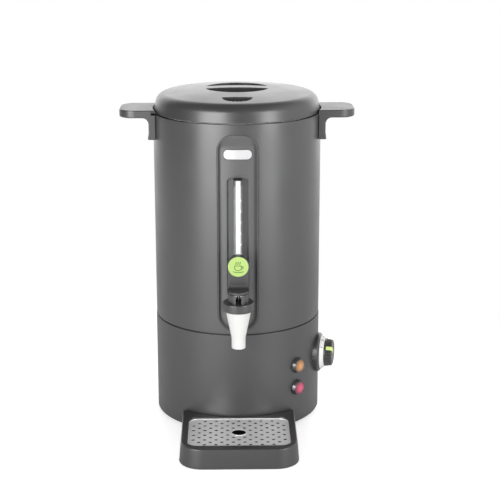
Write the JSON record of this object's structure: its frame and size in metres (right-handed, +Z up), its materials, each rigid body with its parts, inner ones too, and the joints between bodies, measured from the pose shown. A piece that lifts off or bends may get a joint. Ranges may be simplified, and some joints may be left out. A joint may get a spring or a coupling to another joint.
{
  "type": "hot water urn",
  "caption": "Double-walled cylindrical hot water urn with bayonet lid, side handles, level gauge, lever tap, thermostat knob, lamps and drip tray.",
  "frame": {"origin": "on the body's vertical axis, in the plane the feet stand on", "axes": "+Z up along the body's axis, -Y towards the tap and the drip tray, +X to the right of someone facing the tap, where the knob is"},
  "size_m": [0.307, 0.346, 0.4445],
  "materials": {
    "shell_paint": "satin dark grey",
    "base_paint": "satin dark grey",
    "fascia_plastic": "satin dark grey",
    "lid_plastic": "satin dark grey",
    "handle_plastic": "satin dark grey",
    "tray_plastic": "satin dark grey",
    "tap_plastic": "satin dark grey",
    "lever_plastic": "satin dark grey",
    "flange_plastic": "satin dark grey",
    "vent_plastic": "black",
    "black_plastic": "black",
    "knob_plastic": "fine satin black",
    "bezel_gloss": "gloss",
    "nozzle_white": "smooth white",
    "dial_white": "white",
    "scale_white": "white enamel",
    "badge_silver": "pale silver",
    "button_green": "light green",
    "pointer_lime": "lime",
    "lens_amber": "translucent amber",
    "lens_red": "translucent red",
    "gauge_glass": "clear",
    "stainless": "brushed",
    "grid_steel": "brushed",
    "stem_steel": "bright",
    "element_steel": "dull",
    "zinc": "zinc plated",
    "zinc_sheet": "zinc plated",
    "aluminium_plate": "cast",
    "copper": "copper",
    "ceramic": "pale",
    "wire_red": "insulated wire",
    "silicone": "silicone",
    "rubber_black": "black"
  },
  "bodies": {
    "urn": {"outer_shell": "shell_paint", "base_shell": "base_paint", "seam_ring": "black_plastic", "rim_ring": "black_plastic", "inner_tank": "stainless", "front_fascia": "fascia_plastic", "badge": "badge_silver", "handle_left": "handle_plastic", "handle_right": "handle_plastic", "handle_screws": "zinc", "gauge_tube": "gauge_glass", "gauge_scale": "scale_white", "gauge_cap": "black_plastic", "gauge_seal": "rubber_black", "tap_body": "nozzle_white", "tap_collar": "tap_plastic", "tap_spring": "stem_steel", "lever_pin": "stem_steel", "tap_nut": "nozzle_white", "tap_washers": "silicone", "dial_ring": "dial_white", "knob_flange": "flange_plastic", "thermostat": "ceramic", "thermostat_screws": "zinc", "thermostat_bulb": "copper", "amber_bezel": "bezel_gloss", "red_bezel": "bezel_gloss", "amber_lens": "lens_amber", "red_lens": "lens_red", "amber_lamp": "ceramic", "red_lamp": "ceramic", "lamp_nuts": "zinc", "heat_plate": "aluminium_plate", "heating_element": "element_steel", "thermal_cutout": "black_plastic", "tie_rods": "zinc", "tie_rod_nuts": "zinc", "terminal_block": "ceramic", "wiring": "wire_red", "cord_gland": "black_plastic", "gland_nut": "black_plastic", "base_plate": "zinc_sheet", "feet": "rubber_black", "foot_screws": "zinc"},
    "lid_carrier": {"lid_seal": "silicone"},
    "lid": {"lid_cover": "lid_plastic", "lid_liner": "stainless", "steam_vent": "vent_plastic", "lid_screws": "zinc"},
    "lever": {"tap_lever": "lever_plastic", "tap_button": "button_green"},
    "stem": {"tap_stem": "stem_steel", "tap_seat_cup": "silicone"},
    "dial_knob": {"knob": "knob_plastic", "knob_pointer": "pointer_lime", "thermostat_spindle": "stem_steel"},
    "tray": {"drip_tray": "tray_plastic"},
    "grid": {"drip_grid": "grid_steel"}
  },
  "joints": [
    {"name": "lid_lift", "type": "slide", "parent": "urn", "child": "lid_carrier", "axis": [0, 0, 1], "range_m": [0, 0.18]},
    {"name": "lid_turn", "type": "hinge", "parent": "lid_carrier", "child": "lid", "pos_m": [0, 0, 0.42], "axis": [0, 0, 1], "range_deg": [0, 25]},
    {"name": "tap_lever", "type": "hinge", "parent": "urn", "child": "lever", "pos_m": [0, -0.132, 0.205], "axis": [-1, 0, 0], "range_deg": [0, 12]},
    {"name": "stem_lift", "type": "slide", "parent": "urn", "child": "stem", "axis": [0, 0, 1], "range_m": [0, 0.00376], "stiffness_N_per_m": 150, "springref_m": -0.0035, "deforming": ["tap_spring"]},
    {"name": "knob_turn", "type": "hinge", "parent": "urn", "child": "dial_knob", "pos_m": [0.11738, -0.02495, 0.0845], "axis": [-0.9781, 0.2079, 0], "range_deg": [0, 270]},
    {"name": "tray_slide", "type": "slide", "parent": "urn", "child": "tray", "axis": [0, -1, 0], "range_m": [0, 0.15]},
    {"name": "grid_lift", "type": "slide", "parent": "tray", "child": "grid", "axis": [0, 0, 1], "range_m": [0, 0.06]}
  ],
  "couplings": [
    {"joint": "tap_lever", "follows": "stem_lift", "rad_per_m": 55.556}
  ]
}
